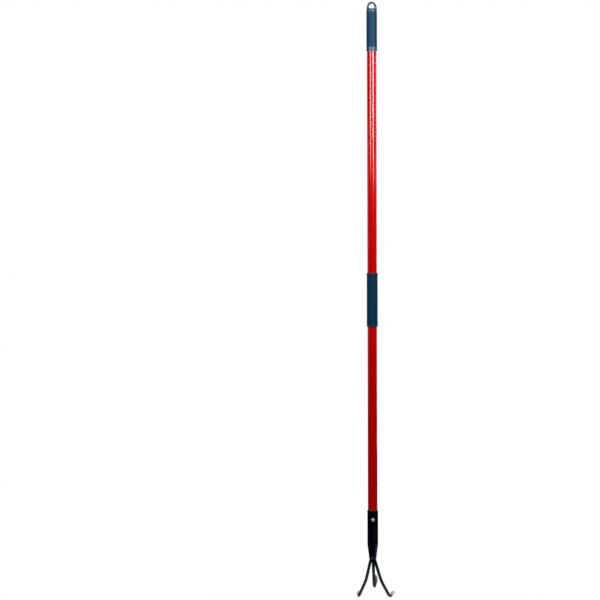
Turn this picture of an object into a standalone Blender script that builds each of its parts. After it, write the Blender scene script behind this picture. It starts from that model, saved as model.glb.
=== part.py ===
"""Long-handled garden cultivator: a two-section tube, two moulded grips and a three-tine forged head.

The shaft runs along Z. The origin is at the crown of the hang loop's opening, where a hook bears, and
the tool hangs down from there. Its front faces -Y, and the points of the tines reach back towards +Y.
"""

import math

import bmesh
import bpy
from mathutils import Quaternion, Vector

# Shaft, in metres
SHAFT_DIAMETER = 0.0250
TUBE_WALL = 0.0012
TUBE_END_ROUNDING = 0.0003
FIT_GAP = 0.0003  # left between any two pieces that seat on each other
UPPER_SHAFT_SHOWING = 0.5805
LOWER_SHAFT_SHOWING = 0.4810
SPIGOT_LENGTH = 0.1160
SPIGOT_WALL = 0.0015

# End grip
END_GRIP_WALL = 0.0012
END_SLEEVE_LENGTH = 0.1029
END_BAND_HEIGHT = 0.0115
GRAIN_INSET = 0.00015  # the grained stretch lies this much below the smooth bands
SHOULDER_HEIGHT = 0.0095
SHOULDER_RUN = 0.0013
SHOULDER_ROUNDING = 0.0022
CAP_DEPTH = 0.0030  # solid plastic between the shoulder and the top of the tube
GRIP_EDGE_ROUNDING = 0.0005

# Hang loop
LOOP_OPENING_WIDTH = 0.0158
LOOP_OPENING_HEIGHT = 0.0128
LOOP_STRAND_THICKNESS = 0.0051
LOOP_CROWN_DEPTH = 0.0092
LOOP_FOOT_DEPTH = 0.0126
LOOP_STRAND_ROUNDING = 0.0023
LOOP_EMBED = 0.0012  # how far the strands run on into the cap

# Mid grip
MID_GRIP_LENGTH = 0.1400
MID_GRIP_WALL = 0.00155
TOP_COLLAR_HEIGHT = 0.0086
BOTTOM_COLLAR_HEIGHT = 0.0100
COLLAR_PROUD = 0.00035
GROOVE_WIDTH = 0.0018
GROOVE_DEPTH = 0.0006
RIM_HEIGHT = 0.0016
RIM_PROUD = 0.0003

# Head socket
SOCKET_WALL = 0.0012
BARREL_LENGTH = 0.0885
TAPER_LENGTH = 0.0302
MOUTH_LAND = 0.0030
SHOULDER_BLEND = 0.0120
NECK_BLEND = 0.0040
TUBE_STOP = 0.0030  # the tube ends this far above the taper
LIP_HEIGHT = 0.0030
LIP_PROUD = 0.00105

# Tines
BAR_DIAMETER = 0.0078
BAR_SEAT = 0.0270  # length of bar held inside the neck
KNEE_DROP = 0.0010  # straight bar below the mouth, before the knee
KNEE_RADIUS = 0.0120
OUTER_SPLAY = math.radians(15.0)
OUTER_LEAN = math.radians(11.0)
OUTER_LEG = 0.0470
OUTER_FLARE = math.radians(26.5)
OUTER_FLARE_LEAN = math.radians(12.0)
OUTER_FLARE_RADIUS = 0.1400
OUTER_SHIN = 0.0252
OUTER_HOOK_RADIUS = 0.0095
OUTER_TIP_RISE = math.radians(22.0)
OUTER_TIP_SPLAY = math.radians(7.0)
MIDDLE_LEG = 0.0040
MIDDLE_LEAN = math.radians(12.5)
MIDDLE_LEAN_RADIUS = 0.0600
MIDDLE_SHIN = 0.0560
MIDDLE_HOOK_RADIUS = 0.0075
MIDDLE_TIP_RISE = math.radians(58.0)

# Forged spear points
POINT_LENGTH = 0.0310
POINT_WIDTH = 0.0120
POINT_THICKNESS = 0.0030
POINT_NOSE = 0.0011  # width left at the very tip
POINT_FLATTENED = 0.4  # share of its length in which the round bar is hammered flat
POINT_WIDEST = 0.5  # share of its length at which it is widest
POINT_BELLY = 1.5  # how full its sides are between there and the tip; 1 makes them straight
POINT_KEENNESS = 0.6  # how far its sides are drawn out to edges; 0 leaves them round
POINT_THINNING = 0.7  # share of its thickness lost between there and the tip

# Weld at the neck
WELD_HEIGHT = 0.0036
WELD_BULGE = 0.0012
WELD_INSET = 0.0013

# Head screw
SCREW_DROP = 0.0250
SCREW_TURN = math.radians(12.0)  # from the front towards +X
SCREW_HEAD_DIAMETER = 0.0090
SCREW_HEAD_HEIGHT = 0.0028
SCREW_RIM_HEIGHT = 0.0009
SCREW_SHANK_DIAMETER = 0.0042
SCREW_LENGTH = 0.0120
SCREW_POINT_LENGTH = 0.0040
RECESS_SPAN = 0.0046
RECESS_WIDTH = 0.0010
RECESS_DEPTH = 0.0015

# Facets
TURN_STEPS = 40
FILLET_STEPS = 3
LOOP_STEPS = 20
BAR_SIDES = 18
HOLE_SIDES = 24
BEND_STEP = math.radians(9.0)
LEAST_BEND_STEPS = 5
POINT_STEPS = 14
CREASE_ANGLE = math.radians(35.0)
WELD_LIMIT = 0.00001

# Radii that follow from the sizes above
SHAFT_RADIUS = SHAFT_DIAMETER / 2
SEAT_RADIUS = SHAFT_RADIUS + FIT_GAP  # bore of every piece that slides over the shaft
TUBE_BORE = SHAFT_RADIUS - TUBE_WALL
END_GRIP_RADIUS = SEAT_RADIUS + END_GRIP_WALL
MID_GRIP_RADIUS = SEAT_RADIUS + MID_GRIP_WALL
SOCKET_RADIUS = SEAT_RADIUS + SOCKET_WALL
BAR_RADIUS = BAR_DIAMETER / 2
BUNDLE_RADIUS = (BAR_DIAMETER + FIT_GAP) / math.sqrt(3)  # circle through the three bars' centres
MOUTH_BORE = BUNDLE_RADIUS + BAR_RADIUS + FIT_GAP
MOUTH_RADIUS = MOUTH_BORE + SOCKET_WALL

# Heights that follow, from the crown of the opening downwards
SILL_Z = -LOOP_OPENING_HEIGHT
SHOULDER_Z = SILL_Z - SHOULDER_HEIGHT
END_BORE_Z = SHOULDER_Z - CAP_DEPTH
END_GRIP_Z = SHOULDER_Z - END_SLEEVE_LENGTH
MID_TOP_Z = END_GRIP_Z - UPPER_SHAFT_SHOWING
MID_END_Z = MID_TOP_Z - MID_GRIP_LENGTH
JOINT_Z = (MID_TOP_Z + MID_END_Z) / 2
LIP_Z = MID_END_Z - LOWER_SHAFT_SHOWING
TAPER_Z = LIP_Z - BARREL_LENGTH
LAND_Z = TAPER_Z - TAPER_LENGTH
MOUTH_Z = LAND_Z - MOUTH_LAND
SCREW_Z = LIP_Z - SCREW_DROP

NAVY = (0.010, 0.042, 0.082)
RED = (0.52, 0.0, 0.0)
BLACK = (0.006, 0.008, 0.012)
BRIGHT_STEEL = (0.55, 0.55, 0.54)
BARE_STEEL = (0.40, 0.39, 0.39)


def clear_scene():
    for obj in list(bpy.data.objects):
        bpy.data.objects.remove(obj, do_unlink=True)


def new_collection(name):
    collection = bpy.data.collections.new(name)
    bpy.context.scene.collection.children.link(collection)
    return collection


def new_material(name, color, roughness, metallic):
    material = bpy.data.materials.new(name)
    material.use_nodes = True
    surface = material.node_tree.nodes["Principled BSDF"]
    surface.inputs["Base Color"].default_value = (*color, 1.0)
    surface.inputs["Roughness"].default_value = roughness
    surface.inputs["Metallic"].default_value = metallic
    material.diffuse_color = (*color, 1.0)
    return material


def arc(centre, radii, start, end, steps):
    """Points of an elliptical arc about a (radius, height) centre, from one angle to another."""
    angles = [start + (end - start) * step / steps for step in range(steps + 1)]
    return [
        (centre[0] + radii[0] * math.cos(angle), centre[1] + radii[1] * math.sin(angle))
        for angle in angles
    ]


def eased(share):
    """A share from 0 to 1 that starts and ends gently."""
    return share * share * (3 - 2 * share)


def filleted(corners):
    """Outline points from (radius, height, fillet) corners, each fillet tangent to both its sides."""
    points = []
    for index, (radius, height, fillet) in enumerate(corners):
        corner = Vector((radius, height))
        if not fillet:
            points.append((radius, height))
            continue
        before = (Vector(corners[index - 1][:2]) - corner).normalized()
        after = (Vector(corners[(index + 1) % len(corners)][:2]) - corner).normalized()
        half = before.angle(after) / 2
        centre = corner + (before + after).normalized() * (fillet / math.sin(half))
        first = corner + before * (fillet / math.tan(half)) - centre
        last = corner + after * (fillet / math.tan(half)) - centre
        start = math.atan2(first.y, first.x)
        sweep = (math.atan2(last.y, last.x) - start + math.pi) % (2 * math.pi) - math.pi
        points += arc(centre, (fillet, fillet), start, start + sweep, FILLET_STEPS)
    return points


def turned(name, profile):
    """Turns a profile about Z. It runs down the outer side, and ends on the axis or closes on itself."""
    count = len(profile)
    edges = [(index, index + 1) for index in range(count - 1)]
    if profile[0][0] > 0:
        edges.append((count - 1, 0))
    mesh = bpy.data.meshes.new(name)
    mesh.from_pydata([(radius, 0, height) for radius, height in profile], edges, [])
    obj = bpy.data.objects.new(name, mesh)
    screw = obj.modifiers.new("Turn", "SCREW")
    screw.axis = "Z"
    screw.angle = 2 * math.pi
    screw.steps = TURN_STEPS
    screw.render_steps = TURN_STEPS
    screw.use_merge_vertices = True
    screw.merge_threshold = WELD_LIMIT
    return obj


def lofted(name, rings):
    """Skins closed rings of equal counts, in order, and caps both ends."""
    shape = bmesh.new()
    loops = [[shape.verts.new(point) for point in ring] for ring in rings]
    count = len(loops[0])
    for near, far in zip(loops, loops[1:]):
        for index in range(count):
            after = (index + 1) % count
            shape.faces.new((near[index], near[after], far[after], far[index]))
    shape.faces.new(list(reversed(loops[0])))
    shape.faces.new(loops[-1])
    bmesh.ops.recalc_face_normals(shape, faces=shape.faces)
    mesh = bpy.data.meshes.new(name)
    shape.to_mesh(mesh)
    shape.free()
    return bpy.data.objects.new(name, mesh)


def rod(name, radius, start, end):
    """A plain round rod between two points."""
    shape = bmesh.new()
    along = end - start
    bmesh.ops.create_cone(
        shape, cap_ends=True, segments=HOLE_SIDES, radius1=radius, radius2=radius, depth=along.length
    )
    obj = bpy.data.objects.new(name, bpy.data.meshes.new(name))
    shape.to_mesh(obj.data)
    shape.free()
    obj.location = (start + end) / 2
    obj.rotation_euler = along.to_track_quat("Z", "Y").to_euler()
    return obj


def box(name, size, location):
    shape = bmesh.new()
    bmesh.ops.create_cube(shape, size=1.0)
    bmesh.ops.scale(shape, vec=size, verts=shape.verts)
    obj = bpy.data.objects.new(name, bpy.data.meshes.new(name))
    shape.to_mesh(obj.data)
    shape.free()
    obj.location = location
    return obj


def combine(obj, other, operation):
    """Cuts the other object from this one, or joins it on, and keeps the other as a hidden helper."""
    helpers.objects.link(other)
    other.hide_render = True
    other.display_type = "WIRE"
    boolean = obj.modifiers.new(other.name, "BOOLEAN")
    boolean.object = other
    boolean.operation = operation


def place(obj, material):
    """Adds a finished piece to the tool, with its material."""
    tool.objects.link(obj)
    obj.data.materials.append(material)


def settle(obj):
    """Makes the mesh what the modifiers give, shaded smooth with its true corners left sharp."""
    graph = bpy.context.evaluated_depsgraph_get()
    mesh = bpy.data.meshes.new_from_object(obj.evaluated_get(graph))
    mesh.name = obj.name
    obj.modifiers.clear()
    obj.data = mesh
    mesh.shade_smooth()
    mesh.set_sharp_from_angle(angle=CREASE_ANGLE)


def tube_profile(outer, bore, top, bottom):
    return filleted(
        [
            (outer, top, TUBE_END_ROUNDING),
            (outer, bottom, TUBE_END_ROUNDING),
            (bore, bottom, 0),
            (bore, top, 0),
        ]
    )


# Shaft


def make_upper_tube():
    top = END_BORE_Z - FIT_GAP
    bottom = JOINT_Z + FIT_GAP / 2
    return turned("upper_tube", tube_profile(SHAFT_RADIUS, TUBE_BORE, top, bottom))


def make_lower_tube():
    top = JOINT_Z - FIT_GAP / 2
    bottom = TAPER_Z + TUBE_STOP
    tube = turned("lower_tube", tube_profile(SHAFT_RADIUS, TUBE_BORE, top, bottom))
    combine(tube, screw_hole("tube_screw_hole"), "DIFFERENCE")
    return tube


def make_joint_spigot():
    outer = TUBE_BORE - FIT_GAP
    top = JOINT_Z + SPIGOT_LENGTH / 2
    bottom = JOINT_Z - SPIGOT_LENGTH / 2
    return turned("joint_spigot", tube_profile(outer, outer - SPIGOT_WALL, top, bottom))


# Grips


def loop_strand():
    """The hang loop: one rounded strand bent to half an ellipse, deepest at its feet in the cap."""
    half_width = (LOOP_OPENING_WIDTH + LOOP_STRAND_THICKNESS) / 2
    height = LOOP_OPENING_HEIGHT + LOOP_STRAND_THICKNESS / 2
    root_z = SHOULDER_Z - LOOP_EMBED
    bow = arc((0, SILL_Z), (half_width, height), 0, math.pi, LOOP_STEPS)
    path = [(half_width, root_z), *bow, (-half_width, root_z)]
    half_thickness = LOOP_STRAND_THICKNESS / 2
    half_depth = LOOP_CROWN_DEPTH / 2
    section = filleted(
        [
            (half_thickness, half_depth, LOOP_STRAND_ROUNDING),
            (half_thickness, -half_depth, LOOP_STRAND_ROUNDING),
            (-half_thickness, -half_depth, LOOP_STRAND_ROUNDING),
            (-half_thickness, half_depth, LOOP_STRAND_ROUNDING),
        ]
    )
    rings = []
    for x, z in path:
        outward = Vector((1, 0, 0)) if x > 0 else Vector((-1, 0, 0))
        if z > SILL_Z:
            outward = Vector((x / half_width**2, 0, (z - SILL_Z) / height**2)).normalized()
        crown_share = eased(max(0.0, z - SILL_Z) / height)
        flare = 1 + (LOOP_FOOT_DEPTH / LOOP_CROWN_DEPTH - 1) * (1 - crown_share)
        centre = Vector((x, 0, z))
        rings.append([centre + outward * out + Vector((0, depth * flare, 0)) for out, depth in section])
    return lofted("hang_loop_strand", rings)


def make_end_grip():
    sill_radius = END_GRIP_RADIUS - SHOULDER_RUN
    grain_radius = END_GRIP_RADIUS - GRAIN_INSET
    band_z = END_GRIP_Z + END_BAND_HEIGHT
    profile = filleted(
        [
            (0, SILL_Z, 0),
            (sill_radius, SILL_Z, SHOULDER_ROUNDING),
            (END_GRIP_RADIUS, SHOULDER_Z, 0),
            (grain_radius, SHOULDER_Z - GRAIN_INSET, 0),
            (grain_radius, band_z + GRAIN_INSET, 0),
            (END_GRIP_RADIUS, band_z, 0),
            (END_GRIP_RADIUS, END_GRIP_Z, GRIP_EDGE_ROUNDING),
            (SEAT_RADIUS, END_GRIP_Z, 0),
            (SEAT_RADIUS, END_BORE_Z, 0),
            (0, END_BORE_Z, 0),
        ]
    )
    grip = turned("end_grip", profile)
    combine(grip, loop_strand(), "UNION")
    return grip


def make_mid_grip():
    body = MID_GRIP_RADIUS
    collar = body + COLLAR_PROUD
    rim = body + RIM_PROUD
    top_collar_z = MID_TOP_Z - TOP_COLLAR_HEIGHT
    bottom_collar_z = MID_END_Z + BOTTOM_COLLAR_HEIGHT
    profile = filleted(
        [
            (collar, MID_TOP_Z, GRIP_EDGE_ROUNDING),
            (collar, top_collar_z, GRIP_EDGE_ROUNDING / 2),
            (body - GROOVE_DEPTH, top_collar_z, 0),
            (body - GROOVE_DEPTH, top_collar_z - GROOVE_WIDTH, 0),
            (body, top_collar_z - GROOVE_WIDTH - GROOVE_DEPTH, 0),
            (body, bottom_collar_z + RIM_HEIGHT, 0),
            (collar, bottom_collar_z + RIM_HEIGHT - RIM_PROUD, 0),
            (collar, bottom_collar_z, 0),
            (body, bottom_collar_z - RIM_PROUD, 0),
            (body, MID_END_Z + 2 * RIM_HEIGHT, 0),
            (collar + RIM_PROUD, MID_END_Z + RIM_HEIGHT, 0),
            (collar + RIM_PROUD, MID_END_Z, GRIP_EDGE_ROUNDING),
            (SEAT_RADIUS, MID_END_Z, 0),
            (SEAT_RADIUS, MID_TOP_Z, 0),
        ]
    )
    return turned("mid_grip", profile)


# Head


def make_head_socket():
    """A tube swaged to a narrow neck at one end and rolled to a lip at the other."""
    lip = arc(
        (SOCKET_RADIUS, LIP_Z - LIP_HEIGHT / 2),
        (LIP_PROUD, LIP_HEIGHT / 2),
        math.pi / 2,
        -math.pi / 2,
        2 * FILLET_STEPS,
    )
    walls = filleted(
        [
            (SOCKET_RADIUS, LIP_Z - LIP_HEIGHT, 0),
            (SOCKET_RADIUS, TAPER_Z, SHOULDER_BLEND),
            (MOUTH_RADIUS, LAND_Z, NECK_BLEND),
            (MOUTH_RADIUS, MOUTH_Z, 0),
            (MOUTH_BORE, MOUTH_Z, 0),
            (MOUTH_BORE, LAND_Z, NECK_BLEND),
            (SEAT_RADIUS, TAPER_Z, SHOULDER_BLEND),
            (SEAT_RADIUS, LIP_Z, 0),
        ]
    )
    socket = turned("head_socket", [*lip, *walls[1:]])
    combine(socket, screw_hole("socket_screw_hole"), "DIFFERENCE")
    return socket


def down(outward, back):
    """Heading of a bar that goes down, leaning outwards along X and back along Y."""
    return Vector((math.sin(outward) * math.cos(back), math.sin(back), -math.cos(outward) * math.cos(back)))


def up_behind(outward, rise):
    """Heading of a point that goes back along Y and up, leaning outwards along X."""
    return Vector((math.sin(outward) * math.cos(rise), math.cos(outward) * math.cos(rise), math.sin(rise)))


def bent(start, heading, bends):
    """Stations, as (centre, heading), of a bar: each bend is a straight, then a radius to a new heading."""
    stations = [(start, heading)]
    for straight, radius, new_heading in bends:
        here = stations[-1][0] + heading * straight
        axis = heading.cross(new_heading).normalized()
        angle = heading.angle(new_heading)
        centre = here + axis.cross(heading) * radius
        steps = max(LEAST_BEND_STEPS, math.ceil(angle / BEND_STEP))
        for step in range(steps + 1):
            turn = Quaternion(axis, angle * step / steps)
            stations.append((centre + turn @ (here - centre), turn @ heading))
        heading = new_heading
    return stations


def bar_ring(centre, heading, half_width, half_depth, keenness):
    """A section of the bar: round where keenness is 0, and drawn out to two edges as it grows."""
    across = (Vector((1, 0, 0)) - heading * heading.x).normalized()
    through = heading.cross(across)
    ring = []
    for side in range(BAR_SIDES):
        angle = 2 * math.pi * side / BAR_SIDES
        height = math.sin(angle) * abs(math.sin(angle)) ** keenness
        ring.append(centre + across * half_width * math.cos(angle) + through * half_depth * height)
    return ring


def point_section(share, radius):
    """Half width, half depth and keenness of the spear point, from its root at 0 to its tip at 1."""
    if share < POINT_WIDEST:
        swell = eased(share / POINT_WIDEST)
        half_width = radius + (POINT_WIDTH / 2 - radius) * swell
    else:
        taper = (share - POINT_WIDEST) / (1 - POINT_WIDEST)
        half_width = POINT_NOSE / 2 + (POINT_WIDTH - POINT_NOSE) / 2 * (1 - taper**POINT_BELLY)
    flattened = eased(min(1.0, share / POINT_FLATTENED))
    half_depth = radius + (POINT_THICKNESS / 2 - radius) * flattened
    thinned = POINT_THINNING * max(0.0, share - POINT_WIDEST) / (1 - POINT_WIDEST)
    return half_width, half_depth * (1 - thinned), POINT_KEENNESS * flattened


def tine(name, root, bends, clearance=0.0):
    """One bar, bent and drawn out to its point. Clearance grows it all round, for the hole it passes."""
    start = Vector((root[0], root[1], MOUTH_Z + BAR_SEAT))
    stations = bent(start, down(0, 0), bends)
    radius = BAR_RADIUS + clearance
    rings = [bar_ring(centre, heading, radius, radius, 0) for centre, heading in stations]
    neck, heading = stations[-1]
    for step in range(1, POINT_STEPS + 1):
        share = step / POINT_STEPS
        centre = neck + heading * POINT_LENGTH * share
        rings.append(bar_ring(centre, heading, *point_section(share, radius)))
    return lofted(name, rings)


def bundle_place(turn):
    """Centre of one bar of the bundle, a turn away from the front."""
    return (BUNDLE_RADIUS * math.sin(turn), -BUNDLE_RADIUS * math.cos(turn))


def outer_tine(name, side, clearance=0.0):
    root = bundle_place(side * math.pi / 3)
    bends = (
        (BAR_SEAT + KNEE_DROP, KNEE_RADIUS, down(side * OUTER_SPLAY, OUTER_LEAN)),
        (OUTER_LEG, OUTER_FLARE_RADIUS, down(side * OUTER_FLARE, OUTER_FLARE_LEAN)),
        (OUTER_SHIN, OUTER_HOOK_RADIUS, up_behind(side * OUTER_TIP_SPLAY, OUTER_TIP_RISE)),
    )
    return tine(name, root, bends, clearance)


def middle_tine(name, clearance=0.0):
    bends = (
        (BAR_SEAT + MIDDLE_LEG, MIDDLE_LEAN_RADIUS, down(0, MIDDLE_LEAN)),
        (MIDDLE_SHIN, MIDDLE_HOOK_RADIUS, up_behind(0, MIDDLE_TIP_RISE)),
    )
    return tine(name, bundle_place(math.pi), bends, clearance)


def make_neck_weld():
    """The bead under the mouth: it rings the bundle and fills the valleys between the bars."""
    top = MOUTH_Z - FIT_GAP
    bottom = top - WELD_HEIGHT
    bead = arc(
        (MOUTH_RADIUS - WELD_INSET, top - WELD_HEIGHT / 2),
        (WELD_BULGE, WELD_HEIGHT / 2),
        math.pi / 2,
        -math.pi / 2,
        3 * FILLET_STEPS,
    )
    weld = turned("neck_weld", [*bead, (BUNDLE_RADIUS, bottom), (BUNDLE_RADIUS, top)])
    combine(weld, outer_tine("left_bar_way", -1, FIT_GAP), "DIFFERENCE")
    combine(weld, middle_tine("middle_bar_way", FIT_GAP), "DIFFERENCE")
    combine(weld, outer_tine("right_bar_way", 1, FIT_GAP), "DIFFERENCE")
    return weld


# Head screw


def screw_way(distance):
    """A point on the screw's axis, this far out from the middle of the shaft."""
    return Vector((distance * math.sin(SCREW_TURN), -distance * math.cos(SCREW_TURN), SCREW_Z))


def screw_hole(name):
    radius = SCREW_SHANK_DIAMETER / 2 + FIT_GAP
    inner = screw_way(SOCKET_RADIUS - SCREW_LENGTH)
    outer = screw_way(SOCKET_RADIUS + SCREW_LENGTH)
    return rod(name, radius, inner, outer)


def make_head_screw():
    head_radius = SCREW_HEAD_DIAMETER / 2
    shank_radius = SCREW_SHANK_DIAMETER / 2
    dome = arc(
        (0, SCREW_RIM_HEIGHT),
        (head_radius, SCREW_HEAD_HEIGHT - SCREW_RIM_HEIGHT),
        math.pi / 2,
        0,
        2 * FILLET_STEPS,
    )
    dome[0] = (0, SCREW_HEAD_HEIGHT)
    profile = [
        *dome,
        (head_radius, 0),
        (shank_radius, 0),
        (shank_radius, SCREW_POINT_LENGTH - SCREW_LENGTH),
        (0, -SCREW_LENGTH),
    ]
    screw = turned("head_screw", profile)
    floor = SCREW_HEAD_HEIGHT - RECESS_DEPTH
    for name, size in (
        ("recess_across", (RECESS_SPAN, RECESS_WIDTH, 2 * RECESS_DEPTH)),
        ("recess_along", (RECESS_WIDTH, RECESS_SPAN, 2 * RECESS_DEPTH)),
    ):
        slot = box(name, size, (0, 0, floor + RECESS_DEPTH))
        slot.parent = screw
        combine(screw, slot, "DIFFERENCE")
    screw.location = screw_way(SOCKET_RADIUS + FIT_GAP)
    outward = screw_way(1.0) - screw_way(0.0)
    screw.rotation_euler = outward.to_track_quat("Z", "Y").to_euler()
    return screw


clear_scene()
tool = new_collection("garden_cultivator")
helpers = new_collection("cutters")

navy_plastic = new_material("navy_plastic", NAVY, 0.45, 0.0)
red_paint = new_material("red_paint", RED, 0.22, 0.0)
black_enamel = new_material("black_enamel", BLACK, 0.25, 0.0)
bright_steel = new_material("bright_steel", BRIGHT_STEEL, 0.35, 1.0)
bare_steel = new_material("bare_steel", BARE_STEEL, 0.45, 1.0)

place(make_end_grip(), navy_plastic)
place(make_upper_tube(), red_paint)
place(make_joint_spigot(), bare_steel)
place(make_mid_grip(), navy_plastic)
place(make_lower_tube(), red_paint)
place(make_head_socket(), black_enamel)
place(make_head_screw(), bright_steel)
place(outer_tine("tine_left", -1), black_enamel)
place(middle_tine("tine_middle"), black_enamel)
place(outer_tine("tine_right", 1), black_enamel)
place(make_neck_weld(), black_enamel)

for piece in tool.objects:
    settle(piece)
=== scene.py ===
"""Garden cultivator: fine forms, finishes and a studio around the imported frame, laid out as an add-on."""

import math

import bmesh
import bpy
from bpy.props import FloatProperty, FloatVectorProperty, IntProperty, PointerProperty
from mathutils import Matrix, Quaternion, Vector


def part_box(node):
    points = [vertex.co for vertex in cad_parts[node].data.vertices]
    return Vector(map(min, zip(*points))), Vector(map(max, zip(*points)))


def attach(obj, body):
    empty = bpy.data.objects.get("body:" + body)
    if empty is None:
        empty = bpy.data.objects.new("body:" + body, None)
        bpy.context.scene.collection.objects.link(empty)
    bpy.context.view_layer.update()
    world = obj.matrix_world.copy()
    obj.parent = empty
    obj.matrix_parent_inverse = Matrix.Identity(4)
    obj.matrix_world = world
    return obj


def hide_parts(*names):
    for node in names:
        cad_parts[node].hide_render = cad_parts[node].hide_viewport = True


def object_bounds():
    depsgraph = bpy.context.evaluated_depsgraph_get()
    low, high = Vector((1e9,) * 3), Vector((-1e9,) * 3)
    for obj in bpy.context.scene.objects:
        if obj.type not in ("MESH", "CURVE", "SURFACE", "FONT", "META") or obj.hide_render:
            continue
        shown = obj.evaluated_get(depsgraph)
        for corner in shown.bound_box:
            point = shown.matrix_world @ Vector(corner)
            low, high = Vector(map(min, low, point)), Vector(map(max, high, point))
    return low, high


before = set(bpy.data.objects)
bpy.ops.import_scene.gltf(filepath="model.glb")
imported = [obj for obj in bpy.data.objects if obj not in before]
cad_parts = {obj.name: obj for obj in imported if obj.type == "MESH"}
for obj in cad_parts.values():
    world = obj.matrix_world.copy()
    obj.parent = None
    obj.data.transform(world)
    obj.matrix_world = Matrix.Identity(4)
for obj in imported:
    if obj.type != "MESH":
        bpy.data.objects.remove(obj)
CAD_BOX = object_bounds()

bl_info = {
    "name": "Garden Cultivator",
    "version": (1, 0, 0),
    "blender": (4, 5, 0),
    "location": "View3D > Sidebar > Cultivator",
    "description": "Fine forms and finishes of a long-handled garden cultivator",
    "category": "Add Mesh",
}

# What the frame says, in metres
END_GRIP_LOW, END_GRIP_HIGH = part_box("end_grip")
UPPER_LOW, UPPER_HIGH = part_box("upper_tube")
MID_GRIP_LOW, MID_GRIP_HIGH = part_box("mid_grip")
LOWER_LOW, LOWER_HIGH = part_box("lower_tube")
SOCKET_LOW, SOCKET_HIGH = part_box("head_socket")
WELD_LOW, WELD_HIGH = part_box("neck_weld")
SHAFT_RADIUS = UPPER_HIGH.y
END_GRIP_RADIUS = END_GRIP_HIGH.y
MOUTH_Z = SOCKET_LOW.z
FIT_GAP = 0.0003
SEAT_RADIUS = SHAFT_RADIUS + FIT_GAP

# Facets
ROUND_STEPS = 160
FILLET_STEPS = 6
HOLD = 0.0004  # a ring this far inside each end of a long side keeps its shading straight
BAR_SIDES = 48
LOOP_STEPS = 60
SCREW_SIDES = 96
BEND_STEP = math.radians(2.0)
STRAIGHT_STEP = 0.0020
LEAF_STEPS = 70
CREASE_ANGLE = math.radians(38.0)
WELD_LIMIT = 0.00001
CAP_FAIRING = 6
WELD_FAIRING = 5

# The screw's thread and the cutter of its recess, as shares of the screw's sizes
THREAD_ROOT = 0.78
RECESS_OVERCUT = 1.2
RECESS_MOUTH = 1.25
RECESS_FLOOR_REACH = 0.55
RECESS_FLOOR_WIDTH = 0.7

# The run weld: the bulge of its bead, how its ripples bow and wander, and how it climbs down each bar
BEAD_BULGE = 0.8
RIPPLE_BOW = 0.9
RIPPLE_NOISE = 260.0
RIPPLE_WANDER = 2.0
RIPPLE_MIDDLE = 1.6
CLIMB_SKIN = 0.00012
CLIMB_SWELL = 0.0011
CLIMB_REACH = 2.6
CLIMB_END = 3.0


def size(label, about, default):
    """A length, in metres."""
    return FloatProperty(name=label, description=about, default=default, unit="LENGTH", precision=5)


def angle(label, about, degrees):
    """An angle, given in degrees and kept in radians."""
    return FloatProperty(name=label, description=about, default=math.radians(degrees), subtype="ANGLE")


def share(label, about, default):
    """A plain number that isn't below 0, mostly a share."""
    return FloatProperty(name=label, description=about, default=default, min=0.0)


def color(label, about, default):
    """A colour, in linear light."""
    return FloatVectorProperty(
        name=label, description=about, default=default, subtype="COLOR", min=0.0, max=1.0
    )


class ShaftSettings(bpy.types.PropertyGroup):
    wall: size("Wall", "Thickness of the shaft tube", 0.0012)
    end_rounding: size("End rounding", "Rounding of the tube's outer ends", 0.0003)
    paint: color("Paint", "Gloss red of the shaft", (0.47, 0.0, 0.0))
    peel_size: size("Peel size", "Width of one dimple in the paint's skin", 0.0016)
    peel_depth: size("Peel depth", "Depth of the dimples in the paint's skin", 0.000004)


class GripSettings(bpy.types.PropertyGroup):
    shoulder_height: size("Shoulder height", "Glossy band under the hang loop", 0.0095)
    shoulder_taper: size("Shoulder taper", "How much narrower the band is at its top", 0.0013)
    shoulder_rounding: size("Shoulder rounding", "Rounding of the cap's top edge", 0.0022)
    cap_depth: size("Cap depth", "Solid plastic above the tube", 0.0030)
    band_height: size("Band height", "Glossy band at the grip's lower end", 0.0115)
    grain_inset: size("Grain inset", "How far the grained stretch lies below the bands", 0.00015)
    edge: size("Edge", "Rounding of the moulded ends", 0.0006)
    opening_width: size("Opening width", "Width of the loop's opening at its sill", 0.0158)
    opening_height: size("Opening height", "Height of the loop's opening", 0.0128)
    strand: size("Strand", "Thickness of the loop seen from the front", 0.0051)
    crown_depth: size("Crown depth", "Depth of the loop at its top", 0.0092)
    foot_depth: size("Foot depth", "Depth of the loop where it grows out of the cap", 0.0126)
    foot_fillet: size("Foot fillet", "Thickening of the loop at its feet", 0.0016)
    strand_rounding: size("Strand rounding", "Rounding of the loop's edges", 0.0023)
    fusing: size("Fusing", "Voxel size at which loop and cap are fused", 0.00032)
    top_collar: size("Top collar", "Height of the mid grip's upper collar", 0.0086)
    bottom_collar: size("Bottom collar", "Height of the mid grip's lower collar", 0.0100)
    wall: size("Wall", "Wall of the mid grip", 0.00155)
    collar_proud: size("Collar proud", "How far the collars stand out", 0.00035)
    groove_width: size("Groove width", "Groove under the upper collar", 0.0018)
    groove_depth: size("Groove depth", "Depth of that groove", 0.0006)
    rim_height: size("Rim height", "Fine raised rims of the lower collar", 0.0016)
    rim_proud: size("Rim proud", "How far those rims stand out", 0.0003)
    plastic: color("Plastic", "Navy of the end grip's grained stretch", (0.0006, 0.029, 0.070))
    # Lighter than the grained navy: painted highlight of the glossy bands and cap, on top of their real
    # gloss.
    band_plastic: color("Band plastic", "Navy of the smooth bands", (0.0026, 0.045, 0.102))
    # Darker than the end grip's navy: painted shade for the mid grip, which sits lower and further from the
    # lamps.
    mid_plastic: color("Mid plastic", "Deeper navy of the mid grip's grained stretch", (0.0, 0.024, 0.056))
    grain_size: size("Grain size", "Width of one pebble of the moulded grain", 0.0009)
    grain_depth: size("Grain depth", "Depth of the moulded grain", 0.00006)


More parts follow.
